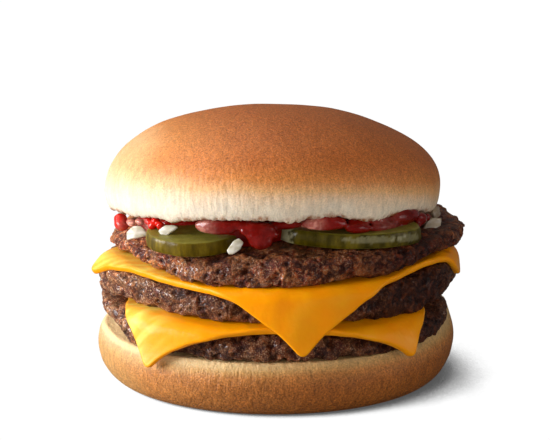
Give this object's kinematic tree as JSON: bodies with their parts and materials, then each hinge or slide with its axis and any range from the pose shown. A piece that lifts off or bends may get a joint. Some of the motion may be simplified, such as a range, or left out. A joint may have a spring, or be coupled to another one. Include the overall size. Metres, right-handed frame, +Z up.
{
  "type": "triple cheeseburger",
  "caption": "Stacked burger in a soft bun, with beef patties, draped cheese slices, pickles, chopped onion and ketchup under a tilted bun top.",
  "frame": {"origin": "middle of the object's outer box, on the flat base of the bottom bun", "axes": "+Z up through the stack, -Y to the front with the hanging cheese corner, +X to the right seen from the front"},
  "size_m": [0.1092, 0.1086, 0.0802],
  "materials": {
    "bun": "satin",
    "beef": "glistening, coarse",
    "cheese": "satin",
    "pickle": "wet gloss",
    "onion": "wet gloss",
    "ketchup": "wet gloss"
  },
  "bodies": {
    "root": {"bun_bottom": "bun", "patty_bottom": "beef", "cheese_lower": "cheese", "patty_middle": "beef", "cheese_upper": "cheese", "patty_top": "beef", "pickle_left": "pickle", "pickle_right": "pickle", "onion_1": "onion", "onion_2": "onion", "onion_3": "onion", "onion_4": "onion", "ketchup": "ketchup", "bun_top": "bun"}
  },
  "joints": []
}
